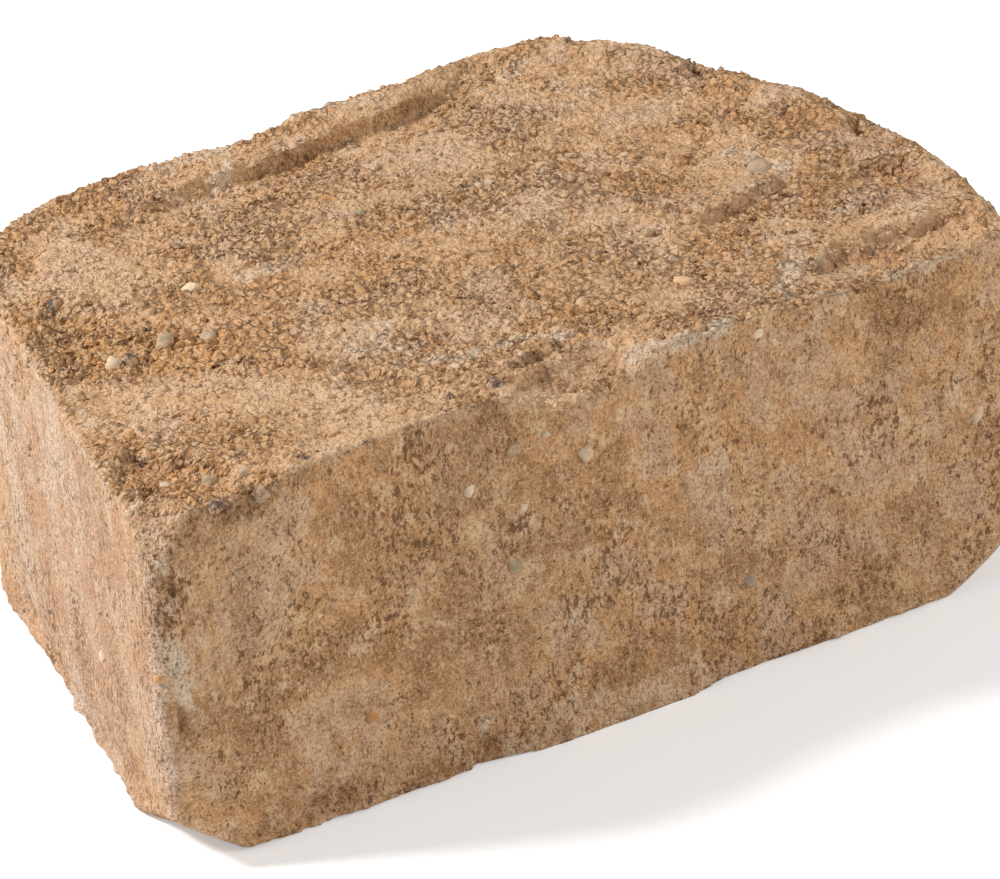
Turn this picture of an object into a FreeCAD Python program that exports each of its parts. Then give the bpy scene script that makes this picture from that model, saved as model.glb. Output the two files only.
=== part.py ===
import FreeCAD, Part
import Sketcher
import math
import os

# A tumbled garden retaining wall block, cast in one piece.
#
# Seen from above it is a trapezoid: a wide wavy front face, a narrower rear face and sides that draw in, so
# that blocks can be laid to a curve. Tumbling has worn its corners by unequal amounts and broken its edges.
#
# Frame, in millimetres: the origin is on the floor under the middle of the block, +X runs along the front
# face to the right, +Y runs from the front face to the rear, and +Z is up.

BLOCK_NAME = "wall_block"
SHEET = "sizes"
CLEAR = 1.0  # how far a cutting profile stands past the surface that it cuts
WAVE_POLES = 7  # control points of the wavy front, corner to corner
WAVE_DEGREE = 3
TOP_ROWS = 12  # sections across the uneven top, left to right
TOP_POLES = 9  # control points of each, front to rear
TOP_LEVEL = 0.35  # share of the unevenness at which the top is struck level
TOP_STRIDES = (0.618, 0.755, 0.37)  # what a row, a column and both together add to a control point's share
TOP_MIDDLE = 0.4  # unevenness in the middle of the top over that at its rim
CHIP_LEAN = 1.2  # run of a corner chip's wall over its bite, so that it runs out below the chip's height
ORIGIN = (-1, 1)  # a sketch's own origin, as constraints name it

# Each driving dimension has one row: alias, value, what it is. Lengths are millimetres, angles degrees.
SIZES = [
    ("block_width", 265.0, "left corner to the furthest point of the right side"),
    ("block_depth", 179.0, "front face to rear face"),
    ("block_height", 102.0, "one course"),
    ("left_taper", 11.5, "angle that the left side draws in towards the rear"),
    ("right_radius", 200.0, "plan radius of the bulging right side"),
    ("right_bulge", 56.5, "front face to where the right side stands furthest out"),
    ("near_corner_radius", 6.0, "front left upright edge"),
    ("far_corner_radius", 10.0, "front right upright edge"),
    ("rear_corner_radius", 12.0, "rear right upright edge"),
    ("foot_corner_radius", 30.0, "rear left upright edge at the floor"),
    ("crown_corner_radius", 52.0, "rear left upright edge at the top, where it is worn most"),
    ("foot_wave", 0.8, "set-back of the control points in the hollows of the front at the floor"),
    ("crown_wave", 4.5, "set-back of those control points at the top"),
    ("foot_wear", 1.4, "how far the bottom edges are worn in and up"),
    ("crown_wear", 1.3, "how far the top edges are worn in and down"),
    ("top_unevenness", 3.2, "height between the highest and lowest control points of the uneven top"),
    ("lip_left", -74.0, "left end of the hollow that leaves the rear lip"),
    ("lip_from", -52.0, "where that hollow reaches its full depth"),
    ("lip_to", 44.0, "where it begins to run out again"),
    ("lip_right", 68.0, "right end of that hollow"),
    ("lip_setback_left", 22.0, "width of the lip at its left end"),
    ("lip_setback_right", 6.5, "width of the lip at its right end"),
    ("lip_depth", 4.0, "height of the lip over its hollow"),
    ("lip_slope", 4.5, "plan width of the lip's inner slope"),
    ("lip_width", 46.0, "front to rear over the hollow"),
    ("end_left", 56.0, "left end of the hollow across the right of the top"),
    ("end_from", 96.0, "where that hollow reaches its full depth"),
    ("end_to", 117.0, "where it begins to run out again"),
    ("end_right", 128.0, "right end of that hollow, inside the edge"),
    ("end_setback_left", 113.0, "rear face to that hollow at its left end"),
    ("end_setback_right", 121.0, "rear face to that hollow at its right end"),
    ("end_depth", 3.2, "depth of that hollow"),
    ("end_slope", 5.0, "plan width of its steep rear slope"),
    ("end_width", 26.0, "front to rear over that hollow"),
    ("rim_left", 58.0, "left end of the hollow behind the front right rim"),
    ("rim_from", 84.0, "where that hollow reaches its full depth"),
    ("rim_to", 110.0, "where it begins to run out again"),
    ("rim_right", 124.0, "right end of that hollow, inside the edge"),
    ("rim_setback_left", 157.0, "rear face to that hollow at its left end"),
    ("rim_setback_right", 164.0, "rear face to that hollow at its right end"),
    ("rim_depth", 2.4, "depth of that hollow"),
    ("rim_slope", 4.5, "plan width of its steep rear slope"),
    ("rim_width", 14.0, "front to rear over that hollow"),
    ("scoop_x", -4.0, "middle of the spall broken out of the front top edge"),
    ("scoop_radius", 27.0, "plan radius of that spall"),
    ("scoop_bite", 15.0, "how far it reaches behind the front face"),
    ("scoop_rise", 7.0, "its height"),
    ("scoop_run", 8.0, "plan width of its wall, which leaves a ledge in front"),
    ("front_wear_x", -52.0, "middle of the worn stretch of the front top edge"),
    ("front_wear_radius", 130.0, "plan radius of that stretch"),
    ("front_wear_bite", 7.5, "how far it reaches behind the front face"),
    ("front_wear_rise", 46.0, "its height"),
    ("near_chip_radius", 34.0, "plan radius of the chip at the front left top corner"),
    ("near_chip_bite", 11.0, "how far it reaches in from the corner"),
    ("near_chip_rise", 19.0, "its height"),
    ("near_chip_turn", 45.0, "angle from the front that it comes in at"),
    ("near_foot_radius", 100.0, "plan radius of the chip under the front left foot"),
    ("near_foot_bite", 21.0, "how far it reaches in from the corner"),
    ("near_foot_rise", 20.0, "its height"),
    ("near_foot_turn", 12.0, "angle from the front that it comes in at"),
    ("far_foot_radius", 100.0, "plan radius of the chip under the front right foot"),
    ("far_foot_bite", 26.0, "how far it reaches in from the corner"),
    ("far_foot_rise", 19.0, "its height"),
    ("far_foot_turn", 12.0, "angle from the front that it comes in at"),
]


def size(alias):
    """The expression that reads one cell of the sheet."""
    return SHEET + "." + alias


HALF_WIDTH = "(%s / 2)" % size("block_width")
HALF_DEPTH = "(%s / 2)" % size("block_depth")
HEIGHT = size("block_height")

LEFT_TAPER = "(%s * 1 deg)" % size("left_taper")

# The right side is an arc. This is its centre, and the x at which it would meet the front face.
SIDE_CENTRE_X = "(%s - %s)" % (HALF_WIDTH, size("right_radius"))
SIDE_CENTRE_Y = "(%s - %s)" % (size("right_bulge"), HALF_DEPTH)
FAR_CORNER_X = "(%s + sqrt(%s ^ 2 - %s ^ 2))" % (SIDE_CENTRE_X, size("right_radius"), size("right_bulge"))

# The wavy front runs between these, one at each corner's rounding.
WAVE_START_X = "(%s - %s)" % (size("near_corner_radius"), HALF_WIDTH)
WAVE_END_X = "(%s - %s)" % (FAR_CORNER_X, size("far_corner_radius"))


def add_sheet(doc):
    sheet = doc.addObject("Spreadsheet::Sheet", SHEET)
    for row, (alias, value, meaning) in enumerate(SIZES, start=1):
        sheet.set("A%d" % row, alias)
        sheet.set("B%d" % row, str(value))
        sheet.setAlias("B%d" % row, alias)
        sheet.set("C%d" % row, meaning)
    doc.recompute()


def add_sketch(body, name, role, shift):
    """A sketch on one of the body's origin planes, moved by expressions for x, y or z of its offset."""
    sketch = body.newObject("Sketcher::SketchObject", name)
    plane = next(item for item in body.Origin.OriginFeatures if item.Role == role)
    sketch.AttachmentSupport = (plane, [""])
    sketch.MapMode = "FlatFace"
    for axis, expression in shift.items():
        sketch.setExpression("AttachmentOffset.Base." + axis, expression)
    return sketch


def bind(sketch, kind, expression, value, *where):
    """Add one measured constraint that holds its value now and follows an expression from then on."""
    number = sketch.addConstraint(Sketcher.Constraint(kind, *where, value))
    sketch.setExpression("Constraints[%d]" % number, expression)


def pin_point(sketch, geometry, point, x, y):
    """Hold a point of the sketch at x and y from its origin."""
    drawn = sketch.getPoint(geometry, point)
    bind(sketch, "DistanceX", x, drawn.x, *ORIGIN, geometry, point)
    bind(sketch, "DistanceY", y, drawn.y, *ORIGIN, geometry, point)


def add_polygon(body, name, role, shift, corners):
    """A closed outline of straight lines through corners, each a pair of expressions."""
    sketch = add_sketch(body, name, role, shift)
    count = len(corners)
    turns = [2 * math.pi * index / count for index in range(count)]
    rough = [FreeCAD.Vector(math.cos(turn), math.sin(turn), 0) for turn in turns]
    for index in range(count):
        sketch.addGeometry(Part.LineSegment(rough[index], rough[(index + 1) % count]))
    for index, (x, y) in enumerate(corners):
        sketch.addConstraint(Sketcher.Constraint("Coincident", index, 1, (index - 1) % count, 2))
        pin_point(sketch, index, 1, x, y)
    return sketch


def arc_about(x, y, radius, start, end):
    circle = Part.Circle(FreeCAD.Vector(x, y, 0), FreeCAD.Vector(0, 0, 1), radius)
    return Part.ArcOfCircle(circle, start, end)


def wave_between(start, end, count):
    """A curve that will be wavy: at first its control points lie in line."""
    poles = [start + (end - start) * (index / (count - 1)) for index in range(count)]
    spans = count - WAVE_DEGREE
    ends = [WAVE_DEGREE + 1]
    knots = list(range(spans + 1))
    curve = Part.BSplineCurve()
    curve.buildFromPolesMultsKnots(poles, ends + [1] * (spans - 1) + ends, knots, False, WAVE_DEGREE)
    return curve


def draw_outline(sheet, corner, inset):
    """The outline's eight pieces in order, where they are first drawn; constraints hold them later.

    All corner arcs keep their centres when the outline is drawn in, so only their radii change.
    """
    def read(alias):
        return float(sheet.get(alias))

    half_width, half_depth = read("block_width") / 2, read("block_depth") / 2
    taper = math.radians(read("left_taper"))
    side_radius = read("right_radius")
    side_x, side_y = half_width - side_radius, read("right_bulge") - half_depth

    def arc_beside_side(radius, y):
        """Centre of a corner arc that touches the side arc from inside, and the side's angle there."""
        x = side_x + math.sqrt((side_radius - radius) ** 2 - (y - side_y) ** 2)
        return x, y, math.atan2(y - side_y, x - side_x)

    near_radius, far_radius, rear_radius = (
        read(name + "_corner_radius") for name in ("near", "far", "rear"))
    near_x, near_y = near_radius - half_width, near_radius - half_depth
    far_x, far_y, far_turn = arc_beside_side(far_radius, far_radius - half_depth)
    rear_x, rear_y, rear_turn = arc_beside_side(rear_radius, half_depth - rear_radius)
    corner_y = half_depth - corner
    lean = (corner_y - near_y) * math.sin(taper) + corner - near_radius
    corner_x = near_x + lean / math.cos(taper)

    near = arc_about(near_x, near_y, near_radius - inset, math.pi - taper, 3 * math.pi / 2)
    far = arc_about(far_x, far_y, far_radius - inset, -math.pi / 2, far_turn)
    side = arc_about(side_x, side_y, side_radius - inset, far_turn, rear_turn)
    rear = arc_about(rear_x, rear_y, rear_radius - inset, rear_turn, math.pi / 2)
    rounding = arc_about(corner_x, corner_y, corner - inset, math.pi / 2, math.pi - taper)
    back = Part.LineSegment(rear.EndPoint, rounding.StartPoint)
    left = Part.LineSegment(rounding.EndPoint, near.StartPoint)
    front = wave_between(near.EndPoint, far.StartPoint, WAVE_POLES)
    return near, far, side, rear, back, rounding, left, front


def add_outline(body, sheet, level, edge, height, inset):
    """The plan outline at one height: wavy front, bulging right side, straight rear and left sides.

    The level, foot or crown, names the corner radius and the wave that it has there. The inset is the alias
    of what the outline is drawn in by at the block's end faces, or None where it has its full size.
    """
    sketch = add_sketch(body, "%s_%s_outline" % (level, edge), "XY_Plane", {"z": height})
    inset_now = float(sheet.get(inset)) if inset else 0.0
    inset = size(inset) if inset else "0"
    corner_alias = level + "_corner_radius"
    drawn = draw_outline(sheet, float(sheet.get(corner_alias)), inset_now)
    near, far, side, rear, back, rounding, left, front = (sketch.addGeometry(piece) for piece in drawn)
    first_pole = front + 1
    sketch.exposeInternalGeometry(front)

    start, end, centre = 1, 2, 3
    rule = Sketcher.Constraint
    chain = (far, side, rear, back, rounding, left, near)
    for piece, following in zip(chain, chain[1:]):
        sketch.addConstraint(rule("Tangent", piece, end, following, start))
    sketch.addConstraint(rule("Coincident", near, end, front, start))
    sketch.addConstraint(rule("Coincident", front, end, far, start))
    sketch.addConstraint(rule("Vertical", near, centre, near, end))
    sketch.addConstraint(rule("Vertical", far, centre, far, start))
    sketch.addConstraint(rule("Horizontal", back))

    near_y = "%s - %s" % (size("near_corner_radius"), HALF_DEPTH)
    pin_point(sketch, near, centre, WAVE_START_X, near_y)
    pin_point(sketch, side, centre, SIDE_CENTRE_X, SIDE_CENTRE_Y)
    radii = {near: "near_corner_radius", far: "far_corner_radius", rear: "rear_corner_radius",
             side: "right_radius", rounding: corner_alias}
    for piece, alias in radii.items():
        bind(sketch, "Radius", "%s - %s" % (size(alias), inset), sketch.Geometry[piece].Radius, piece)
    front_y = "%s - %s" % (inset, HALF_DEPTH)
    rear_y = "%s - %s" % (HALF_DEPTH, inset)
    bind(sketch, "DistanceY", front_y, sketch.getPoint(far, start).y, *ORIGIN, far, start)
    bind(sketch, "DistanceY", rear_y, sketch.getPoint(back, start).y, *ORIGIN, back, start)
    left_angle = -math.pi / 2 - math.radians(float(sheet.get("left_taper")))
    bind(sketch, "Angle", "-90 deg - " + LEFT_TAPER, left_angle, left)

    for index in range(1, WAVE_POLES - 1):
        share = index / (WAVE_POLES - 1)
        x = "%s + %s * (%s - %s)" % (WAVE_START_X, share, WAVE_END_X, WAVE_START_X)
        hollow = size(level + "_wave") if index % 2 == 0 else "0"
        pin_point(sketch, first_pole + index, centre, x, "%s + %s" % (front_y, hollow))
    return sketch


def add_cast_form(body, sheet):
    """The whole block before anything is broken out of it, with its top and bottom edges worn."""
    levels = (
        ("foot", "worn", "0", "foot_wear"),
        ("foot", "full", size("foot_wear"), None),
        ("crown", "full", "%s - %s" % (HEIGHT, size("crown_wear")), None),
        ("crown", "worn", HEIGHT, "crown_wear"),
    )
    outlines = [add_outline(body, sheet, *level) for level in levels]
    form = body.newObject("PartDesign::AdditiveLoft", "cast_form")
    form.Profile = outlines[0]
    form.Sections = outlines[1:]
    form.Ruled = True
    body.Document.recompute()


def top_share(row, column):
    """How far down one control point of the uneven top lies: a share that follows no plain pattern.

    It grows from the middle, which stays level, to the rim, where wear is greatest.
    """
    row_stride, column_stride, joint_stride = TOP_STRIDES
    pattern = (row * row_stride + column * column_stride + row * column * joint_stride) % 1
    outwards = max(abs(2 * row / (TOP_ROWS - 1) - 1), abs(2 * column / (TOP_POLES - 1) - 1))
    return pattern * (TOP_MIDDLE + (1 - TOP_MIDDLE) * outwards)


def add_uneven_top(body):
    """Shallow hollows in the cast top, which is struck level in its middle.

    They are what one wavy surface cuts away where it dips below the top, lofted through sections along X.
    """
    start, end, centre = 1, 2, 3
    rule = Sketcher.Constraint
    front_y = "-%s - %s" % (HALF_DEPTH, CLEAR)
    above = "%s + %s" % (HEIGHT, size("top_unevenness"))
    sections = []
    for row in range(TOP_ROWS):
        x = "(%s + %s) * %s" % (HALF_WIDTH, CLEAR, 2 * row / (TOP_ROWS - 1) - 1)
        sketch = add_sketch(body, "top_section_%d" % (row + 1), "YZ_Plane", {"z": x})
        near_low, far_low = FreeCAD.Vector(-1, 0, 0), FreeCAD.Vector(1, 0, 0)
        near_high, far_high = FreeCAD.Vector(-1, 1, 0), FreeCAD.Vector(1, 1, 0)
        wave = sketch.addGeometry(wave_between(near_low, far_low, TOP_POLES))
        far_side = sketch.addGeometry(Part.LineSegment(far_low, far_high))
        lid = sketch.addGeometry(Part.LineSegment(far_high, near_high))
        near_side = sketch.addGeometry(Part.LineSegment(near_high, near_low))
        first_pole = near_side + 1
        sketch.exposeInternalGeometry(wave)
        for piece, following in ((wave, far_side), (far_side, lid), (lid, near_side), (near_side, wave)):
            sketch.addConstraint(rule("Coincident", piece, end, following, start))
        sketch.addConstraint(rule("Vertical", far_side))
        sketch.addConstraint(rule("Vertical", near_side))
        sketch.addConstraint(rule("Horizontal", lid))
        bind(sketch, "DistanceY", above, 1, *ORIGIN, lid, start)
        for column in range(TOP_POLES):
            y = "%s + %s * (%s + 2 * %s)" % (front_y, column / (TOP_POLES - 1), size("block_depth"), CLEAR)
            z = "%s - %.3f * %s" % (HEIGHT, top_share(row, column) - TOP_LEVEL, size("top_unevenness"))
            pin_point(sketch, first_pole + column, centre, y, z)
        sections.append(sketch)
    top = body.newObject("PartDesign::SubtractiveLoft", "uneven_top")
    top.Profile = sections[0]
    top.Sections = sections[1:]
    top.Ruled = True
    body.Document.recompute()


def add_hollow(body, name):
    """A shallow hollow along X in the top, with a steep rear slope and a long gentle front one.

    It has its full depth between two stations and runs out at both ends.
    """
    left, right, depth = (size(name + part) for part in ("_left", "_right", "_depth"))
    left_setback, right_setback = size(name + "_setback_left"), size(name + "_setback_right")
    stations = ((left, "0"), (size(name + "_from"), depth), (size(name + "_to"), depth), (right, "0"))
    sections = []
    for index, (x, depth_here) in enumerate(stations, start=1):
        share = "(%s - %s) / (%s - %s)" % (x, left, right, left)
        setback = "%s + (%s - %s) * %s" % (left_setback, right_setback, left_setback, share)
        rear_y = "%s - (%s)" % (HALF_DEPTH, setback)
        corners = [
            (rear_y, "%s + %s" % (HEIGHT, CLEAR)),
            ("%s - %s" % (rear_y, size(name + "_slope")), "%s - %s" % (HEIGHT, depth_here)),
            ("%s - %s" % (rear_y, size(name + "_width")), "%s + %s" % (HEIGHT, CLEAR)),
        ]
        sections.append(add_polygon(body, "%s_section_%d" % (name, index), "YZ_Plane", {"z": x}, corners))
    hollow = body.newObject("PartDesign::SubtractiveLoft", name + "_hollow")
    hollow.Profile = sections[0]
    hollow.Sections = sections[1:]
    hollow.Ruled = True
    body.Document.recompute()


def add_bite(body, name, axis_x, axis_y, at_top, run):
    """A piece broken out of an edge: a turned cut about an upright axis outside the block.

    Its wall leans in by run over its height. A run as large as the bite makes the wall die out on the face,
    and a smaller one leaves a ledge.
    """
    radius, rise = size(name + "_radius"), size(name + "_rise")
    outer = "%s + %s" % (HEIGHT, CLEAR) if at_top else "-%s" % CLEAR
    inner = "%s - %s" % (HEIGHT, rise) if at_top else rise
    corners = [
        ("0", outer),
        (radius, outer),
        ("%s - %s" % (radius, run), inner),
        ("0", inner),
    ]
    shift = {"x": axis_x, "z": "-(%s)" % axis_y}
    profile = add_polygon(body, name + "_profile", "XZ_Plane", shift, corners)
    bite = body.newObject("PartDesign::Groove", name)
    bite.Profile = profile
    bite.ReferenceAxis = (profile, ["V_Axis"])
    bite.Angle = 360.0
    body.Document.recompute()


def reach(name):
    """How far outside the face or the corner a bite's axis lies."""
    return "(%s - %s)" % (size(name + "_radius"), size(name + "_bite"))


def add_front_bites(body):
    """The worn stretch of the front top edge and the spall beside it."""
    for name, run in (("front_wear", size("front_wear_bite")), ("scoop", size("scoop_run"))):
        add_bite(body, name, size(name + "_x"), "-%s - %s" % (HALF_DEPTH, reach(name)), True, run)


def add_corner_bites(body):
    """Chips at the ends of the front, each of which comes in at its own angle."""
    chips = (
        ("near_chip", "-" + HALF_WIDTH, "-", True),
        ("near_foot", "-" + HALF_WIDTH, "-", False),
        ("far_foot", FAR_CORNER_X, "+", False),
    )
    for name, corner_x, outward, at_top in chips:
        turn = "(%s * 1 deg)" % size(name + "_turn")
        x = "%s %s %s * cos(%s)" % (corner_x, outward, reach(name), turn)
        y = "-%s - %s * sin(%s)" % (HALF_DEPTH, reach(name), turn)
        add_bite(body, name, x, y, at_top, "%s * %s" % (CHIP_LEAN, size(name + "_bite")))


def make_block(doc, sheet):
    body = doc.addObject("PartDesign::Body", BLOCK_NAME)
    body.Label = BLOCK_NAME
    add_cast_form(body, sheet)
    add_uneven_top(body)
    for hollow in ("lip", "end", "rim"):
        add_hollow(body, hollow)
    add_front_bites(body)
    add_corner_bites(body)
    return body


def check(doc, body):
    doc.recompute()
    for item in doc.Objects:
        if "Invalid" in item.State or "Error" in item.State:
            raise RuntimeError("%s failed: %s" % (item.Name, item.State))
    shape = body.Shape
    if shape.isNull() or not shape.isValid() or len(shape.Solids) != 1:
        raise RuntimeError("%s is not one sound solid" % body.Label)


def main():
    doc = FreeCAD.newDocument("retaining_wall_block")
    add_sheet(doc)
    body = make_block(doc, doc.getObject(SHEET))
    check(doc, body)
    os.makedirs("parts", exist_ok=True)
    body.Shape.exportStep("parts/%s.step" % body.Label)
    box = body.Shape.optimalBoundingBox(False)
    print("%s: %.1f x %.1f x %.1f mm, %.2f litres" % (
        body.Label, box.XLength, box.YLength, box.ZLength, body.Shape.Volume / 1e6))


main()
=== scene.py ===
import math
from collections import namedtuple

import bmesh
import bpy
import numpy as np
from mathutils import Matrix, Vector
from mathutils.bvhtree import BVHTree


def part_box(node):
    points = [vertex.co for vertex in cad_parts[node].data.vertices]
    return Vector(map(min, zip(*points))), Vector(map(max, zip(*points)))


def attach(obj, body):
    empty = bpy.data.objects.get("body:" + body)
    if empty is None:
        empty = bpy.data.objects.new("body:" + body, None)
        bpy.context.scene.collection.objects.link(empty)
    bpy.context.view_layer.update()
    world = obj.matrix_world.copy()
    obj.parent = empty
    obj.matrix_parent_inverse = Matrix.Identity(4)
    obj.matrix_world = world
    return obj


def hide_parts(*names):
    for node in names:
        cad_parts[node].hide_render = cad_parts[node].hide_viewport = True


# A tumbled concrete wall block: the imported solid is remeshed, then its wear, cast texture and exposed stones
# are worked into the mesh, and the material adds what is finer than the mesh.
#
# Marks that the photograph shows are given by their pixels in its 1000 x 879 frame, and rays from the camera
# find their places on the block. Every other length is in metres, or in millimetres where MM follows it.

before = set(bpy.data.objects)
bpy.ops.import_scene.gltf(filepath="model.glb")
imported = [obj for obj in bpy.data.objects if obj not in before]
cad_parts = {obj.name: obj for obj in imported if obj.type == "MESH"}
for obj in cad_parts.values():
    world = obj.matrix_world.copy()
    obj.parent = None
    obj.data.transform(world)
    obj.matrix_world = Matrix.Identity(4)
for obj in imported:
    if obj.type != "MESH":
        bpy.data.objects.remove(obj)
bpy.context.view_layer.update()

MM = 0.001
NODE = "wall_block"
BLOCK_LOW, BLOCK_HIGH = (np.array(corner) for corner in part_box(NODE))
HEIGHT = BLOCK_HIGH[2]

# Camera: the photograph's view, with the slight roll that it was taken with.
PHOTO_WIDTH, PHOTO_HEIGHT = 1000, 879
SENSOR_WIDTH = 36.0
FOCAL_PIXELS = 8000.0
VIEW_AZIMUTH = math.radians(-28.07)
VIEW_ELEVATION = math.radians(28.24)
VIEW_ROLL = math.radians(-4.763)
VIEW_DISTANCE = 2.1035
LOOK_AT = Vector((0.00578, -0.01998, 0.050))


def add_object(name, data):
    made = bpy.data.objects.new(name, data)
    bpy.context.scene.collection.objects.link(made)
    return made


def camera_axes():
    """The camera's right, up and back directions."""
    azimuth, elevation = VIEW_AZIMUTH, VIEW_ELEVATION
    back = Vector((math.sin(azimuth) * math.cos(elevation), -math.cos(azimuth) * math.cos(elevation),
                   math.sin(elevation)))
    level = Vector((math.cos(azimuth), math.sin(azimuth), 0))
    upward = back.cross(level)
    right = math.cos(VIEW_ROLL) * level + math.sin(VIEW_ROLL) * upward
    return right, back.cross(right), back


def make_camera():
    data = bpy.data.cameras.new("camera")
    data.sensor_width = SENSOR_WIDTH
    data.lens = FOCAL_PIXELS * SENSOR_WIDTH / PHOTO_WIDTH
    camera = add_object("camera", data)
    right, up, back = camera_axes()
    turn = Matrix((right, up, back)).transposed().to_4x4()
    camera.matrix_world = Matrix.Translation(LOOK_AT + back * VIEW_DISTANCE) @ turn
    bpy.context.scene.camera = camera


def pixel_ray(pixel):
    """The camera's place and the direction in which it sees one pixel of the photograph."""
    right, up, back = camera_axes()
    across = (pixel[0] - PHOTO_WIDTH / 2) / FOCAL_PIXELS
    down = (pixel[1] - PHOTO_HEIGHT / 2) / FOCAL_PIXELS
    return LOOK_AT + back * VIEW_DISTANCE, (right * across - up * down - back).normalized()


# Marks on the block. Each has a path, how far it reaches to each side, and how deep it is: a negative depth
# is a ridge. On a ledge the low side is the right-hand one on the way along its path. Lengths in the tables
# of marks, patches and stones are in millimetres.

Mark = namedtuple("Mark", "path reach depth")
Patch = namedtuple("Patch", "path reach strength")


def read_marks(table):
    return {name: Mark(path, reach * MM, depth * MM) for name, (path, reach, depth) in table.items()}


def read_patches(table):
    return {name: Patch(path, reach * MM, strength) for name, (path, reach, strength) in table.items()}


LEDGES = read_marks({
    "rear lip": ([(176, 192), (250, 168), (330, 138), (400, 110), (474, 84)], 9, 2),
    "band left of centre": ([(250, 264), (304, 236)], 6, 1),
    "first ridge at the right": ([(684, 226), (740, 198), (796, 172)], 10, 3.6),
    "second ridge at the right": ([(800, 162), (860, 157), (926, 158)], 9, 3.4),
    "third ridge at the right": ([(792, 272), (840, 248), (900, 226), (972, 200)], 12, 5),
    "fold left of the spall": ([(340, 346), (385, 372), (436, 388)], 7, 3),
    "rear of the left broken zone": ([(34, 300), (110, 318), (190, 322)], 12, 1.2),
    "rear of the near chip": ([(124, 448), (160, 458), (210, 462), (262, 478)], 8, 2.6),
    "spall wall": ([(496, 370), (550, 346), (612, 340)], 5, 2.6),
})

DENTS = read_marks({
    "hollow of the spall": ([(524, 382), (560, 371), (602, 362)], 6, 2),
    "slot behind the near chip": ([(134, 453), (160, 460), (184, 458)], 2, 4.5),
    "hole in the near chip": ([(149, 488), (153, 492)], 2.4, 4),
    "rear notch, left": ([(690, 66), (698, 70)], 2.4, 3),
    "rear notch, right": ([(856, 126), (862, 130)], 2.4, 3),
    "arris notch": ([(183, 716), (185, 732)], 2.8, 3.4),
    "arris pinhole": ([(171, 593), (172, 596)], 1.4, 1.8),
    "pit in the second ridge": ([(906, 171), (918, 174)], 2.6, 3.5),
    "crack on the front": ([(524, 557), (540, 546), (570, 548), (602, 540)], 1.2, 1.4),
    "faint crack on the front": ([(408, 657), (440, 640), (476, 620)], 1.1, 0.8),
    "ripple under the spall": ([(500, 398), (470, 440), (430, 510), (388, 566)], 9, 1.6),
    "ripple right of the spall": ([(645, 385), (652, 445)], 7, 1.2),
    "hollow near the right end": ([(868, 292), (880, 340), (862, 405)], 8, 2),
    "ripple on the left": ([(332, 468), (324, 520)], 6, 1),
    "crease by the near corner": ([(238, 575), (242, 650), (240, 730)], 4, 1.3),
    "foot notch left": ([(311, 822), (321, 810)], 3, 2),
    "foot notch middle": ([(484, 758), (492, 748)], 3.5, 2.2),
    "ridge by the near corner": ([(257, 600), (256, 690)], 3.5, -0.7),
    "swell under the spall": ([(585, 405), (602, 450), (622, 530)], 10, -0.9),
    "foot that stands forward": ([(548, 730), (600, 714), (650, 697), (684, 684)], 9, -2.6),
    "crest of the lip": ([(300, 122), (400, 92), (480, 64), (530, 48)], 5, -2.2),
    "crest at the rear": ([(560, 48), (620, 52), (676, 68)], 6, -2.8),
    "crest at the rear right": ([(724, 84), (790, 98), (842, 122)], 6, -2.6),
    "crest at the far right": ([(900, 150), (940, 170), (980, 206)], 5, -1.2),
    "tip of the near foot": ([(238, 838), (262, 836)], 7, 1.6),
    "left foot": ([(24, 606), (60, 676), (100, 740), (140, 792)], 6, 1.6),
    "foot notch at the chip": ([(318, 808), (340, 800)], 5, 2),
    "swell near the right end": ([(932, 300), (926, 370)], 7, -0.8),
})

# Patches of the skin that differ: a path, how far the patch reaches to each side, and its strength.
BROKEN_ZONES = read_patches({
    "left top edge": ([(45, 320), (112, 345), (186, 346)], 15, 1),
    "near corner chip": ([(140, 474), (200, 492), (250, 492)], 9, 1),
    "rear left top corner": ([(30, 236), (14, 268)], 6, 0.6),
})

PALE_SMEARS = read_patches({
    "rear lip, left end": ([(160, 170), (236, 140)], 7, 1.1),
    "rear lip, middle": ([(262, 130), (340, 108)], 4, 1.1),
    "rear lip, right end": ([(438, 74), (470, 62)], 5, 1),
    "behind the lip's end": ([(480, 88), (522, 66)], 6, 1),
    "rear top": ([(556, 84), (592, 92)], 6, 1),
    "smear on the left": ([(208, 212), (226, 148)], 4, 1),
    "middle of the top": ([(424, 200), (446, 226)], 6, 1),
    "streak over the middle": ([(438, 186), (482, 182)], 3, 1),
    "upper left of the fold": ([(240, 276), (276, 270)], 5, 1),
    "left of the fold": ([(278, 292), (312, 306)], 4, 1),
    "patch by the fold": ([(356, 346), (388, 326), (410, 360)], 8, 1.05),
    "rim behind the spall": ([(400, 364), (456, 358), (520, 340), (600, 330)], 4, 1.2),
    "rim right of the spall": ([(636, 350), (724, 326)], 4, 1.1),
    "first ridge": ([(730, 152), (776, 166)], 6, 1),
    "between the ridges": ([(786, 284), (800, 244), (852, 204)], 6, 1),
    "front right rim": ([(786, 300), (864, 282), (968, 254)], 4, 1.05),
    "left top edge": ([(2, 262), (60, 374), (140, 506)], 3.5, 0.85),
    "near arris": ([(158, 540), (176, 640), (188, 712)], 4, 1.2),
    "lower near arris": ([(244, 690), (250, 785)], 4, 0.7),
    "front, lower middle": ([(474, 722), (506, 748)], 8, 1),
    "front, lower left": ([(386, 742), (436, 746)], 5, 0.6),
    "front, centre": ([(664, 472), (748, 462)], 11, 0.6),
    "front, rising": ([(572, 640), (612, 548), (668, 430)], 6, 0.65),
    "front, right": ([(940, 400), (985, 420)], 8, 0.6),
    "front, under the rim": ([(320, 480), (350, 470)], 6, 0.6),
})

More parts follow.
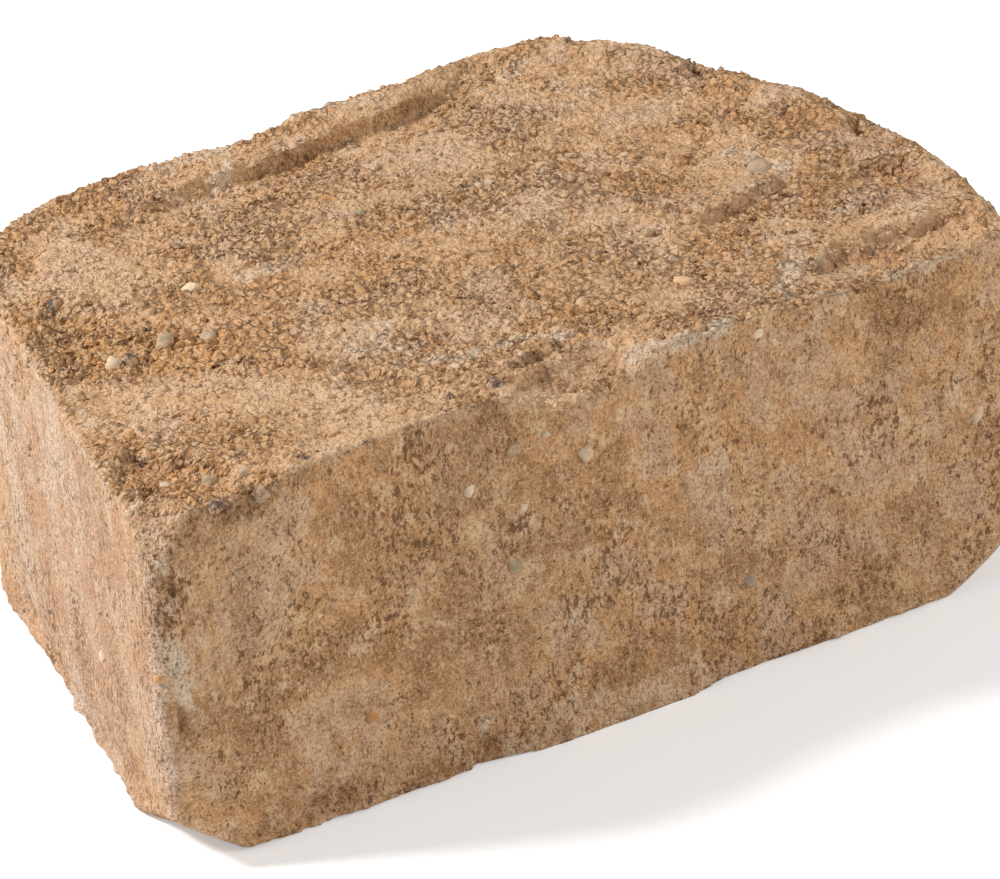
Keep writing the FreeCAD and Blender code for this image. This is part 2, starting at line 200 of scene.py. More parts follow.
# Where the skin stayed close and smooth.
SMOOTH_PATCHES = read_patches({
    "facet under the spall": ([(516, 380), (560, 368), (616, 358)], 7, 0.9),
    "front left of the top": ([(190, 398), (290, 408), (384, 424)], 13, 0.8),
    "left of the near chip": ([(96, 392), (150, 420)], 8, 0.6),
    "first ridge": ([(700, 196), (760, 172)], 8, 0.6),
    "third ridge": ([(800, 250), (880, 226), (940, 196)], 6, 0.6),
    "front right of the top": ([(820, 272), (960, 234)], 6, 0.7),
    "lip": ([(190, 168), (300, 140), (440, 84)], 5, 0.7),
})

# Painted shade mixed with brown stains of the paste: the near chip's facet and hole, the facet under the
# spall, notches and hollows that face away from the light, and the bands of the front that turn away from it.
SHADE_AND_STAIN_PATCHES = read_patches({
    "facet of the near chip": ([(172, 548), (206, 522), (256, 494)], 7, 1),
    "hole in the near chip": ([(148, 482), (156, 500)], 4, 1),
    "facet under the spall": ([(524, 374), (560, 366), (606, 358)], 7, 1),
    "near arris, upper": ([(172, 590), (176, 632)], 4, 1),
    "near arris, notch": ([(178, 716), (188, 744)], 4, 1),
    "band by the near corner": ([(240, 560), (244, 620), (236, 690), (222, 800)], 7, 0.6),
    "under the arris, left": ([(476, 414), (452, 500)], 9, 0.6),
    "front, left of centre": ([(402, 520), (396, 590)], 8, 0.6),
    "front, middle": ([(500, 480), (520, 600), (450, 660)], 14, 0.45),
    "hollow near the right end": ([(876, 292), (884, 360)], 7, 0.8),
    "front, right of centre": ([(820, 510), (852, 556)], 8, 0.6),
    "foot notch middle": ([(440, 766), (488, 748)], 4, 1),
    "foot, left": ([(268, 806), (340, 792), (420, 772)], 6, 0.6),
    "foot, right": ([(640, 690), (700, 668)], 7, 0.5),
    "under the left zone": ([(44, 330), (80, 372)], 5, 0.7),
})

# Stones that show at the surface: pixel, size across and kind.
STONES = {
    "left zone, dark oblong": ((53, 306), 6, "dark"),
    "left zone, rear": ((150, 313), 4.5, "grey"),
    "left zone, green grey": ((158, 344), 7.5, "green"),
    "left zone, hole side": ((131, 362), 6, "dark"),
    "left zone, white": ((108, 363), 5.5, "white"),
    "left zone, front": ((82, 367), 4, "dark"),
    "left zone, right": ((209, 336), 5, "grey"),
    "left zone, orange": ((166, 322), 4.5, "orange"),
    "left edge, small": ((118, 424), 3.6, "dark"),
    "chip, near": ((131, 432), 3.2, "orange"),
    "chip, blue": ((214, 505), 5, "dark"),
    "chip, right end": ((260, 492), 5, "grey"),
    "chip, flat": ((208, 478), 5, "green"),
    "chip, rear": ((248, 472), 4, "grey"),
    "top, white": ((190, 288), 5, "white"),
    "top, white small": ((134, 428), 2.6, "white"),
    "top, green": ((652, 232), 5, "green"),
    "top, grey flat": ((752, 166), 8, "grey"),
    "top, pale cube": ((543, 164), 4.5, "tan"),
    "top, pale": ((624, 155), 3.6, "white"),
    "top, round": ((685, 281), 6.5, "tan"),
    "top, ring": ((580, 302), 5, "tan"),
    "top, rear green": ((497, 92), 4.4, "green"),
    "top, rear dark": ((566, 42), 3.4, "dark"),
    "top, rear second dark": ((620, 42), 3, "dark"),
    "top, right grey": ((748, 254), 4.6, "grey"),
    "top, right bluish": ((822, 266), 5, "grey"),
    "top, left green": ((358, 212), 4, "green"),
    "rim, dark": ((779, 306), 3.4, "dark"),
    "rim, white": ((758, 333), 3.4, "white"),
    "arris, dark first": ((367, 441), 3.6, "dark"),
    "arris, dark second": ((448, 397), 3.4, "dark"),
    "arris, dark third": ((494, 383), 5.2, "dark"),
    "arris, dark fourth": ((304, 458), 2.8, "dark"),
    "lip, flake": ((330, 104), 4.4, "grey"),
    "front, white": ((587, 454), 5.4, "white"),
    "front, white left": ((471, 492), 4.6, "white"),
    "front, white lower": ((522, 507), 3.6, "white"),
    "front, green": ((513, 565), 5.4, "green"),
    "front, green upper": ((513, 449), 4.6, "green"),
    "front, green low": ((412, 601), 3, "green"),
    "front, grey right": ((749, 580), 4.6, "grey"),
    "front, white right": ((978, 415), 5, "white"),
    "front, pale high": ((547, 434), 3.2, "white"),
}

# Linear colours of the stones.
STONE_COLOURS = {
    "dark": (0.060, 0.043, 0.033),
    "grey": (0.33, 0.255, 0.185),
    "green": (0.28, 0.23, 0.14),
    "white": (0.68, 0.54, 0.38),
    "tan": (0.52, 0.35, 0.20),
    "orange": (0.46, 0.21, 0.06),
}


# Repeatable noise, worked out for arrays of points.

CELL_FACTORS = (73856093, 19349663, 83492791)
SEED_FACTOR = 2654435761
MIXING = ((16, 0x7FEB352D), (15, 0x846CA68B), (16, 1))  # how far to shift and what to multiply by
NUMBER_SEED = 7  # from a cell's noise to the number of its own
FAR_AWAY = 9.0  # more than any distance that is measured here
TINY = 1e-12  # keeps a division by zero away


def cell_random(cells, seed):
    """A random number from 0 to 1 for each whole-number cell."""
    mixed = np.uint32(0)
    for axis, factor in enumerate(CELL_FACTORS):
        mixed = mixed ^ cells[..., axis].astype(np.int64).astype(np.uint32) * np.uint32(factor)
    mixed ^= np.uint32(seed * SEED_FACTOR % 2 ** 32)
    for shift, factor in MIXING:
        mixed ^= mixed >> np.uint32(shift)
        mixed *= np.uint32(factor)
    return mixed / 2.0 ** 32


def value_noise(points, scale, seed):
    """Smooth noise from -1 to 1, with lumps about one scale across."""
    place = points / scale
    base = np.floor(place)
    part = place - base
    part = part * part * part * (part * (part * 6 - 15) + 10)
    total = np.zeros(len(points))
    for corner in np.ndindex(2, 2, 2):
        weight = np.prod(np.where(np.array(corner) == 1, part, 1 - part), axis=1)
        total += weight * cell_random(base + np.array(corner), seed)
    return total * 2 - 1


def layered_noise(points, scale, seed, layers=4, fade=0.5):
    """Noise in layers, each half as large as the one before and weaker by the fade."""
    total, weight_sum = np.zeros(len(points)), 0.0
    for layer in range(layers):
        weight = fade ** layer
        total += weight * value_noise(points, scale / 2 ** layer, seed + layer)
        weight_sum += weight
    return total / weight_sum


def grain_noise(points, scale, seed):
    """Distances to the two nearest of one random point per cell, in cells, and the nearest one's number."""
    place = points / scale
    base = np.floor(place)
    first = np.full(len(points), FAR_AWAY)
    second = np.full(len(points), FAR_AWAY)
    number = np.zeros(len(points))
    for step in np.ndindex(3, 3, 3):
        cell = base + (np.array(step) - 1)
        spot = np.stack([cell_random(cell, seed + axis) for axis in range(3)], axis=1)
        gap = np.linalg.norm(cell + spot - place, axis=1)
        nearer = gap < first
        second = np.where(nearer, first, np.minimum(second, gap))
        number = np.where(nearer, cell_random(cell, seed + NUMBER_SEED), number)
        first = np.where(nearer, gap, first)
    return first, second, number


def smooth_step(low, high, value):
    part = np.clip((value - low) / (high - low), 0, 1)
    return part * part * (3 - 2 * part)


# Mesh helpers.

def read_vertices(mesh, name):
    flat = np.empty(len(mesh.vertices) * 3, dtype=np.float32)
    mesh.vertices.foreach_get(name, flat)
    return flat.reshape(-1, 3).astype(float)


def edge_array(mesh):
    flat = np.empty(len(mesh.edges) * 2, dtype=np.int32)
    mesh.edges.foreach_get("vertices", flat)
    return flat.reshape(-1, 2)


def set_vertices(mesh, points):
    mesh.vertices.foreach_set("co", points.astype(np.float32).ravel())
    mesh.update()


def unit(vectors):
    return vectors / np.maximum(np.linalg.norm(vectors, axis=-1, keepdims=True), TINY)


def relax(values, edges, rounds):
    """Move each vertex's values halfway to its neighbours' mean, a number of times."""
    count = len(values)
    shares = np.maximum(np.bincount(edges.ravel(), minlength=count), 1)
    first, second = edges.T
    for _ in range(rounds):
        total = np.empty_like(values)
        for axis in range(values.shape[1]):
            column = values[:, axis]
            total[:, axis] = (np.bincount(first, column[second], count)
                              + np.bincount(second, column[first], count))
        values = values + (total / shares[:, None] - values) / 2
    return values


def even_normals(mesh, edges, rounds):
    return unit(relax(read_vertices(mesh, "normal"), edges, rounds))


def apply_modifier(block, kind, settings):
    """Replace the object's mesh by the one that a modifier makes of it."""
    modifier = block.modifiers.new("change", kind)
    for name, value in settings.items():
        setattr(modifier, name, value)
    evaluated = block.evaluated_get(bpy.context.evaluated_depsgraph_get())
    mesh = bpy.data.meshes.new_from_object(evaluated)
    block.modifiers.clear()
    block.data = mesh
    return mesh


def ball(subdivisions):
    """The corners and faces of a ball of triangles, of radius 1."""
    shape = bmesh.new()
    bmesh.ops.create_icosphere(shape, subdivisions=subdivisions, radius=1)
    corners = np.array([vertex.co for vertex in shape.verts])
    faces = np.array([[vertex.index for vertex in face.verts] for face in shape.faces])
    shape.free()
    return corners, faces


# Finding marks on the block.

PATH_STEP = 6  # pixels between the rays along a path


class Surface:
    """The block as it was before its marks were worked in."""

    def __init__(self, mesh):
        points = [vertex.co for vertex in mesh.vertices]
        self.tree = BVHTree.FromPolygons(points, [polygon.vertices for polygon in mesh.polygons])

    def under_pixel(self, pixel):
        """The point that the camera sees at a pixel, with the surface's direction there, or None."""
        place, normal, _, _ = self.tree.ray_cast(*pixel_ray(pixel))
        return None if place is None else (np.array(place), np.array(normal))

    def trace(self, path):
        """Points along a path of pixels, and the surface's direction at each."""
        found = []
        for start, end in zip(path, path[1:]):
            steps = max(1, round(math.dist(start, end) / PATH_STEP))
            for step in range(steps):
                share = step / steps
                found.append(self.under_pixel([a + (b - a) * share for a, b in zip(start, end)]))
        found.append(self.under_pixel(path[-1]))
        found = [item for item in found if item is not None]
        if len(found) < 2:
            raise ValueError("the path %s misses the block" % path)
        return np.array([item[0] for item in found]), np.array([item[1] for item in found])


def along_path(points, line, normals):
    """For each point: its distance from the line, its signed distance across it and its share along it."""
    distance = np.full(len(points), FAR_AWAY)
    across = np.zeros(len(points))
    share = np.zeros(len(points))
    pieces = len(line) - 1
    for index in range(pieces):
        start, step = line[index], line[index + 1] - line[index]
        offset = points - start
        part = np.clip(offset @ step / max(step @ step, TINY), 0, 1)
        gap = np.linalg.norm(offset - part[:, None] * step, axis=1)
        nearer = gap < distance
        side = unit(np.cross(step, normals[index]))
        across = np.where(nearer, offset @ side, across)
        share = np.where(nearer, (index + part) / pieces, share)
        distance = np.where(nearer, gap, distance)
    return distance, across, share


def near_mark(points, surface, mark, margin):
    """The points near a mark, as indices, and where they lie along its path."""
    line, normals = surface.trace(mark.path)
    room = mark.reach * margin
    low, high = line.min(axis=0) - room, line.max(axis=0) + room
    chosen = np.nonzero(np.all((points > low) & (points < high), axis=1))[0]
    return chosen, along_path(points[chosen], line, normals)


# Noise and random draws have fixed seeds, so that every run gives the same block.
PATCH_SEED_STEP = 5  # between one patch's noise and the next one's

WOBBLE_SIZE = 5 * MM  # how far apart the waves in a mark's outline are
PATCH_ROOM = 2  # a patch is looked at within this many times its reach
PATCH_WOBBLE = 0.9  # how far a patch's outline wanders, over its reach
PATCH_FADE = (0.1, 1.4)  # where a patch begins to fade and where it ends, over its reach


def spread(points, surface, patches, seed):
    """How much each point lies in any of the patches, up to the patch's strength, with an uneven outline."""
    total = np.zeros(len(points))
    for number, patch in enumerate(patches.values()):
        chosen, (distance, _, _) = near_mark(points, surface, patch, PATCH_ROOM)
        patch_seed = seed + number * PATCH_SEED_STEP
        wobble = layered_noise(points[chosen], WOBBLE_SIZE, patch_seed, layers=3, fade=0.7)
        inside = 1 - smooth_step(*PATCH_FADE, distance / patch.reach + PATCH_WOBBLE * wobble)
        total[chosen] = np.maximum(total[chosen], inside * patch.strength)
    return total


# Working the marks into the mesh.

LEDGE_ROOM = 3  # a ledge is looked at within this many times its reach
LEDGE_WOBBLE = 1.2 * MM  # how far a ledge's wall wanders
FINE_WOBBLE = 0.6 * MM
FINE_WOBBLE_SIZE = 2 * MM
WALL_WIDTH = 0.4 * MM
WALL_SHARE = 0.13  # how much wider a ledge's wall is for its reach
RIM_SHARE = 0.35  # how far the high side swells up, over the ledge's depth
LEDGE_END = 0.22  # share of its path over which a ledge grows at either end


def cut_ledges(points, surface, normals):
    depth_here = np.zeros(len(points))
    for mark in LEDGES.values():
        chosen, (distance, across, share) = near_mark(points, surface, mark, LEDGE_ROOM)
        wobble = value_noise(points[chosen], WOBBLE_SIZE, seed=31) * LEDGE_WOBBLE
        wobble += value_noise(points[chosen], FINE_WOBBLE_SIZE, seed=32) * FINE_WOBBLE
        across = across + wobble
        wall = WALL_WIDTH + WALL_SHARE * mark.reach
        low_side = smooth_step(-wall, wall, across) * np.exp(-np.maximum(across, 0) / mark.reach)
        rim = RIM_SHARE * smooth_step(wall, -wall, across)
        rim = rim * np.exp(np.minimum(across, 0) / (mark.reach / 2))
        ends = smooth_step(0, LEDGE_END, share) * smooth_step(1, 1 - LEDGE_END, share)
        past = 1 - smooth_step(1, LEDGE_ROOM, distance / mark.reach)
        depth_here[chosen] += mark.depth * (low_side - rim) * ends * past
    return points - normals * depth_here[:, None]


DENT_ROOM = 2.2  # a dent is looked at within this many times its reach
DENT_SHARPNESS = 1.4
DENT_WOBBLE = 0.35
LEAST_DENT_WAVE = 2 * MM


def press_dents(points, surface, normals):
    depth_here = np.zeros(len(points))
    for number, mark in enumerate(DENTS.values()):
        chosen, (distance, _, _) = near_mark(points, surface, mark, DENT_ROOM)
        wobble = layered_noise(points[chosen], max(mark.reach, LEAST_DENT_WAVE), seed=50 + number)
        falloff = np.exp(-DENT_SHARPNESS * (distance / mark.reach * (1 + DENT_WOBBLE * wobble)) ** 2)
        depth_here[chosen] += mark.depth * falloff
    return points - normals * depth_here[:, None]


SOFT_ROUNDS = 26  # rounds of averaging that give lightly worn edges
CHIP_ROUNDS = 60  # more rounds, for the places worn most
WEAR_SIZE = 14 * MM
WEAR_RANGE = (0.3, 0.9)
WEAR_SHARE = 0.9
CHIP_SIZE = 24 * MM
CHIP_RANGE = (0.30, 0.75)
CHIP_SHARE = 0.6


def wear_edges(points, edges):
    """Rub the edges down by uneven amounts."""
    soft = relax(points, edges, SOFT_ROUNDS)
    softer = relax(soft, edges, CHIP_ROUNDS)
    amount = 0.5 + 0.5 * layered_noise(points, WEAR_SIZE, seed=71, layers=3)
    chips = smooth_step(*CHIP_RANGE, layered_noise(points, CHIP_SIZE, seed=77, layers=3))
    points = points + (soft - points) * smooth_step(*WEAR_RANGE, amount)[:, None] * WEAR_SHARE
    return points + (softer - points) * (CHIP_SHARE * chips)[:, None]


# Where the skin is of one kind or another. Each range runs from where a kind begins to where it is complete.

TOP_LEAN = (0.45, 0.8)
TOP_BAND = (HEIGHT - 14 * MM, HEIGHT - 8 * MM)
LEFT_LEAN = (0.3, 0.8)
BED_LEAN = (0.5, 0.9)
FAR_DIRECTION = np.array([0.6, 0.8, 0])
FAR_LEAN = (0.05, 0.5)
UPPER_EDGE = (HEIGHT - 12 * MM, HEIGHT - 4 * MM)
LOWER_EDGE = (12 * MM, 4 * MM)
FAR_BREAK_SIZE = 24 * MM
FAR_BREAK_RANGE = (0.22, 0.42)
FAR_SMEAR_SIZE = 26 * MM
FAR_SMEAR_RANGE = (0.25, 0.50)
SMOOTH_SHARE = 0.8  # how much of the open texture a smooth patch takes away


def top_share(points, normals):
    return smooth_step(*TOP_LEAN, normals[:, 2]) * smooth_step(*TOP_BAND, points[:, 2])


def far_side(normals):
    """How much each point belongs to the rear and the right, where the marks are made up."""
    return smooth_step(*FAR_LEAN, normals @ FAR_DIRECTION)


def broken_share(points, normals, surface):
    """How much each point lies where the skin is broken off."""
    shown = spread(points, surface, BROKEN_ZONES, seed=90)
    edge = np.maximum(smooth_step(*UPPER_EDGE, points[:, 2]), smooth_step(*LOWER_EDGE, points[:, 2]))
    breaks = layered_noise(points, FAR_BREAK_SIZE, seed=411)
    return np.maximum(shown, smooth_step(*FAR_BREAK_RANGE, breaks) * far_side(normals) * edge)


def pale_share(points, normals, surface):
    """How much each point lies under a smear of paler paste."""
    shown = spread(points, surface, PALE_SMEARS, seed=200)
    smears = layered_noise(points, FAR_SMEAR_SIZE, seed=401)
    return np.maximum(shown, smooth_step(*FAR_SMEAR_RANGE, smears) * far_side(normals))


def open_share(points, surface, top, broken):
    """How much each point lies in an open, crumbly skin."""
    smooth = spread(points, surface, SMOOTH_PATCHES, seed=350)
    return np.maximum(top * (1 - SMOOTH_SHARE * smooth), broken)


# The cast texture: for each form how far apart its lumps are, and how high or deep it is.

SWELL_SIZE = 26 * MM
LUMP_SIZE = 8 * MM
BEND_SIZE = 3 * MM
BEND = 1.3 * MM  # how far the cells of the texture are bent out of shape
GRAIN_SIZE = 2.8 * MM
GRAIN_EDGE = 0.34  # width of a grain's rounded edge, over its size
LEAST_GRAIN = 0.35
ROUGHNESS_SIZE = 20 * MM
MEAN_ROUGHNESS = 0.65
ROUGHNESS_SWING = 0.5
HOLE_SIZE = 4.2 * MM
HOLE_DEPTH = 1.5 * MM
HOLE_BEND = 1.6  # how much more than the grains it is bent
HOLE_WALL = (0.1, 0.6)  # where its wall begins and ends, over its size
HOLE_NUMBERS = (0.78, 0.92)  # only cells with a high number hold one
CRUMB_SIZE = 5.2 * MM
CRUMB_RADIUS = 0.8  # over its size
CRUMB_HEIGHT = 2.6 * MM
LEVEL_CRUMB = 0.3  # a crumb whose number is lower than this is a hollow
PIT_SIZE = 1.9 * MM
PIT_STRETCH = np.array([1, 1, 0.5])
PIT_DEPTH = 0.6 * MM
PIT_BEND = 0.7
PIT_WALL = (0.05, 0.55)
PIT_NUMBERS = (0.80, 0.95)
FOOT_BAND = (10 * MM, 4 * MM)
RAGGED_SIZE = 6 * MM
RAGGED_HEIGHT = 1.5 * MM
BROKEN_DEPTH = 1.6 * MM
OPEN_DEPTH = 0.4 * MM
BED_SMOOTHNESS = 0.75

# How strong each form is in each kind of place. "all" counts everywhere alike.
RELIEF_SHARES = {
    "swell": {"side": 0.8, "top": 0.6},
    "lumps": {"all": 0.45, "top": 0.65, "broken": 0.9},
    "grains": {"all": 0.12, "open": 0.75},
    "holes": {"side": 0.15, "open": 0.85, "broken": 0.6},
}


def relief_share(form, places):
    return sum(share * places[place] for place, share in RELIEF_SHARES[form].items())


def add_relief(points, normals, surface):
    """The cast texture: open grains on the top and in broken places, small pits on the sides."""
    top = top_share(points, normals)
    broken = broken_share(points, normals, surface)
    bed = smooth_step(*BED_LEAN, -normals[:, 2])
    side = 1 - np.maximum(top, bed)
    open_texture = open_share(points, surface, top, broken)
    places = {"all": 1, "side": side, "top": top, "broken": broken, "open": open_texture}

    swell = layered_noise(points, SWELL_SIZE, seed=11, layers=3) * relief_share("swell", places) * MM
    lumps = layered_noise(points, LUMP_SIZE, seed=21, fade=0.7) * relief_share("lumps", places) * MM

    bend = [layered_noise(points, BEND_SIZE, seed=30 + axis, layers=2) for axis in range(3)]
    bend = np.stack(bend, axis=1) * BEND
    near, next_near, number = grain_noise(points + bend, GRAIN_SIZE, seed=41)
    dome = smooth_step(0, GRAIN_EDGE, next_near - near) * (LEAST_GRAIN + number)
    rough = MEAN_ROUGHNESS + ROUGHNESS_SWING * layered_noise(points, ROUGHNESS_SIZE, seed=46, layers=3)
    grains = dome * relief_share("grains", places) * rough * MM

    distance, _, number = grain_noise(points + bend * HOLE_BEND, HOLE_SIZE, seed=61)
    hole = (1 - smooth_step(*HOLE_WALL, distance)) * smooth_step(*HOLE_NUMBERS, number)
    holes = hole * relief_share("holes", places) * rough * HOLE_DEPTH

    distance, _, number = grain_noise(points + bend, CRUMB_SIZE, seed=65)
    crumb = 1 - np.clip(distance / CRUMB_RADIUS, 0, 1) ** 2
    crumbs = crumb * (number - LEVEL_CRUMB) * CRUMB_HEIGHT * broken

    distance, _, number = grain_noise((points + bend * PIT_BEND) * PIT_STRETCH, PIT_SIZE, seed=81)
    pits = (1 - smooth_step(*PIT_WALL, distance)) * smooth_step(*PIT_NUMBERS, number) * side * PIT_DEPTH

    foot = smooth_step(*FOOT_BAND, points[:, 2]) * side
    ragged = layered_noise(points, RAGGED_SIZE, seed=24, layers=3, fade=0.7) * RAGGED_HEIGHT * foot
    height = swell + lumps + grains + crumbs + ragged - holes - pits
    height -= broken * BROKEN_DEPTH + open_texture * OPEN_DEPTH
    height *= 1 - BED_SMOOTHNESS * bed
    return points + normals * height[:, None]


PROUD = 1.0 * MM  # how far the skin may stand out of the solid's box at the sides
CREST = 1.8 * MM  # and at the top


def keep_inside(points):
    """No point leaves the solid's box by more than a grain's height, and none goes below the floor."""
    below = np.array([PROUD, PROUD, 0])
    above = np.array([PROUD, PROUD, CREST])
    return np.clip(points, BLOCK_LOW - below, BLOCK_HIGH + above)


# Fields that the material reads.

FIELD_ROUNDS = 12  # rounds of averaging that even out the directions
HOLLOW_ROUNDS = 3
HOLLOW_RANGE = (0.06 * MM, 0.30 * MM)
ARRIS_ROUNDS = 30
ARRIS_RANGE = (0.5 * MM, 1.5 * MM)
LOOSE_SIZE = 16 * MM
LOOSE_RANGE = (-0.28, 0.18)
LEAST_LOOSE = 0.25
UPRIGHT = np.array([1, 1, 0.34])
LEVEL = np.ones(3)

# Fields of plain noise: how the place is squeezed, then size, seed, layers and fade.
NOISE_FIELDS = {
    "blotch": (LEVEL, 38 * MM, 501, 3, 0.5),
    "tint": (LEVEL, 15 * MM, 511, 4, 0.65),
    "crowd": (LEVEL, 13 * MM, 521, 3, 0.6),
    "streak": (UPRIGHT, 13 * MM, 531, 4, 0.65),
}


def add_field(mesh, name, values):
    attribute = mesh.attributes.new(name, "FLOAT", "POINT")
    attribute.data.foreach_set("value", values.astype(np.float32))


def paint_fields(mesh, surface):
    points, edges = read_vertices(mesh, "co"), edge_array(mesh)
    normals = even_normals(mesh, edges, FIELD_ROUNDS)
    top = top_share(points, normals)
    broken = broken_share(points, normals, surface)
    # How deep each point lies in a hollow of the mesh, where the material paints shade.
    hollow = np.sum((relax(points, edges, HOLLOW_ROUNDS) - points) * normals, axis=1)
    bulge = np.sum((points - relax(points, edges, ARRIS_ROUNDS)) * normals, axis=1)
    loose = smooth_step(*LOOSE_RANGE, layered_noise(points, LOOSE_SIZE, seed=541, layers=3, fade=0.6))
    loose = loose * (1 - LEAST_LOOSE) + LEAST_LOOSE
    fields = {
        "hollow": smooth_step(*HOLLOW_RANGE, hollow),
        "arris": smooth_step(*ARRIS_RANGE, bulge),
        "top": top,
        "left": smooth_step(*LEFT_LEAN, -normals[:, 0]),
        "broken": broken,
        "pale": pale_share(points, normals, surface),
        "shade_and_stain": spread(points, surface, SHADE_AND_STAIN_PATCHES, seed=300),
        "loose": loose * open_share(points, surface, top, broken),
    }
    for name, (squeeze, *settings) in NOISE_FIELDS.items():
        fields[name] = layered_noise(points * squeeze, *settings)
    for name, values in fields.items():
        add_field(mesh, name, values)


FIRST_VOXEL = 0.8 * MM
VOXEL_ROUNDS = 4  # rounds of averaging that take the voxels' steps away
MARK_ROUNDS = 8
RELIEF_ROUNDS = 6
BLOCK_TRIANGLES = 198000


def make_block():
    block = add_object("concrete_block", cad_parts[NODE].data.copy())
    mesh = apply_modifier(block, "REMESH", {"mode": "VOXEL", "voxel_size": FIRST_VOXEL})
    edges = edge_array(mesh)
    points = relax(read_vertices(mesh, "co"), edges, VOXEL_ROUNDS)
    set_vertices(mesh, points)
    surface = Surface(mesh)
    normals = even_normals(mesh, edges, MARK_ROUNDS)
    points = cut_ledges(points, surface, normals)
    points = wear_edges(points, edges)
    points = press_dents(points, surface, normals)
    set_vertices(mesh, points)
    normals = even_normals(mesh, edges, RELIEF_ROUNDS)
    points = add_relief(points, normals, surface)
    set_vertices(mesh, keep_inside(points))
    triangles = sum(len(polygon.vertices) - 2 for polygon in mesh.polygons)
    mesh = apply_modifier(block, "DECIMATE", {"ratio": BLOCK_TRIANGLES / triangles})
    mesh.polygons.foreach_set("use_smooth", [True] * len(mesh.polygons))
    paint_fields(mesh, surface)
    mesh.materials.clear()
    mesh.materials.append(make_concrete())
    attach(block, "root")
    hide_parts(NODE)
    return mesh


# Stones that show at the surface. Each range holds the least and the most.

STONE_STRETCH = ((1.1, 1.1), (0.9, 1.2), (0.7, 0.9))  # along each axis, the last one upright in the skin
STONE_LUMPS = 0.34
STONE_LUMP_SIZE = 0.8
STONE_SHIFT = 3.1  # from one stone's place in the noise to the next one's
STONE_FACETS = 7
FACET_LEVEL = (0.5, 0.8)
FACET_FLATNESS = 0.85
FULL_TURN = 6.28
STONE_SUNK = (0.14, 0.24)  # how deep a stone's middle lies, over its size
STONE_SHADE = (0.8, 1.2)
STONE_ROUNDS = 4

HIDDEN_STONES = 60  # on the sides that the photograph doesn't show, and a few among the others
HIDDEN_SIZE = (2.2, 5.2)
SHOWN_SIDE_WEIGHT = 0.12
STONE_FLOOR_GAP = 6 * MM
STONE_EDGE_GAP = 9 * MM
LEVEL_SKIN = 0.96


def stone_shape(size, seed):
    """The vertices and faces of one worn stone about its middle."""
    points, faces = ball(subdivisions=3)
    random = np.random.default_rng(seed)
    stretch = np.array([random.uniform(*limits) for limits in STONE_STRETCH])
    lumps = layered_noise(points + seed * STONE_SHIFT, STONE_LUMP_SIZE, seed, fade=0.65)
    for _ in range(STONE_FACETS):
        facing = unit(random.normal(size=3))
        over = np.maximum(points @ facing - random.uniform(*FACET_LEVEL), 0)
        points = points - over[:, None] * facing * FACET_FLATNESS
    return points * (1 + STONE_LUMPS * lumps)[:, None] * stretch * size / 2, faces


def add_stone(shape, colour_layer, place, normal, size, kind, seed):
    points, faces = stone_shape(size, seed)
    random = np.random.default_rng(seed + 1000)
    upright = Vector(normal).to_track_quat("Z", "Y").to_matrix()
    turn = upright @ Matrix.Rotation(random.uniform(0, FULL_TURN), 3, "Z")
    middle = place - normal * size * random.uniform(*STONE_SUNK)
    vertices = [shape.verts.new(point) for point in points @ np.array(turn).T + middle]
    shade = np.array(STONE_COLOURS[kind]) * random.uniform(*STONE_SHADE)
    for vertex in vertices:
        vertex[colour_layer] = (*shade, 1)
    for face in faces:
        shape.faces.new([vertices[index] for index in face]).smooth = True


def make_stones(skin):
    surface = Surface(skin)
    shape = bmesh.new()
    colour_layer = shape.verts.layers.float_color.new("stone_colour")
    for seed, (pixel, size, kind) in enumerate(STONES.values(), start=1):
        found = surface.under_pixel(pixel)
        if found is not None:
            add_stone(shape, colour_layer, *found, size * MM, kind, seed)

    points = read_vertices(skin, "co")
    normals = even_normals(skin, edge_array(skin), STONE_ROUNDS)
    below_edge = points[:, 2] < HEIGHT - STONE_EDGE_GAP
    off_edges = (points[:, 2] > STONE_FLOOR_GAP) & (below_edge | (normals[:, 2] > LEVEL_SKIN))
    weight = (far_side(normals) + SHOWN_SIDE_WEIGHT) * off_edges
    random = np.random.default_rng(seed=5)
    chosen = random.choice(len(points), HIDDEN_STONES, replace=False, p=weight / weight.sum())
    kinds = random.choice(list(STONE_COLOURS), HIDDEN_STONES)
    sizes = random.uniform(*HIDDEN_SIZE, HIDDEN_STONES) * MM
    hidden = zip(chosen, sizes, kinds)
    for seed, (index, size, kind) in enumerate(hidden, start=500):
        add_stone(shape, colour_layer, points[index], normals[index], size, kind, seed)
    mesh = bpy.data.meshes.new("exposed_stones")
    shape.to_mesh(mesh)
    shape.free()
    stones = add_object("exposed_stones", mesh)
    mesh.materials.append(make_stone_material())
    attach(stones, "root")


# Sand grains that stand out where the surface is open. Each range holds the least and the most.

SAND_COUNT = 9600
SAND_ROUNDS = 3
SAND_PATCH_SIZE = 18 * MM
SAND_PATCH_RANGE = (-0.35, 0.35)
SAND_BETWEEN = 0.25  # how many grains lie between the patches of the top
SAND_BROKEN = 1.2
SAND_EVERYWHERE = 0.015
SAND_RUBBED_OFF = 0.6
SAND_FLOOR_GAP = 3 * MM
SAND_RADIUS = (0.45, 1.05)
SAND_POWER = 1.4  # above 1, there are more small grains than large ones
BROKEN_GROWTH = 0.3
ARRIS_LOSS = 0.35
SAND_CORNERS = (0.6, 1.25)
SAND_STRETCH = (0.75, 1.3)
SAND_SUNK = (-0.65, 0.05)  # how far a grain's middle lies over the skin, over its radius
SKIN_FIELDS = ("top", "left", "broken", "pale", "arris", "shade_and_stain", "loose", "blotch", "tint", "crowd",
               "streak")


def read_field(mesh, name):
    values = np.empty(len(mesh.vertices), dtype=np.float32)
    mesh.attributes[name].data.foreach_get("value", values)
    return values


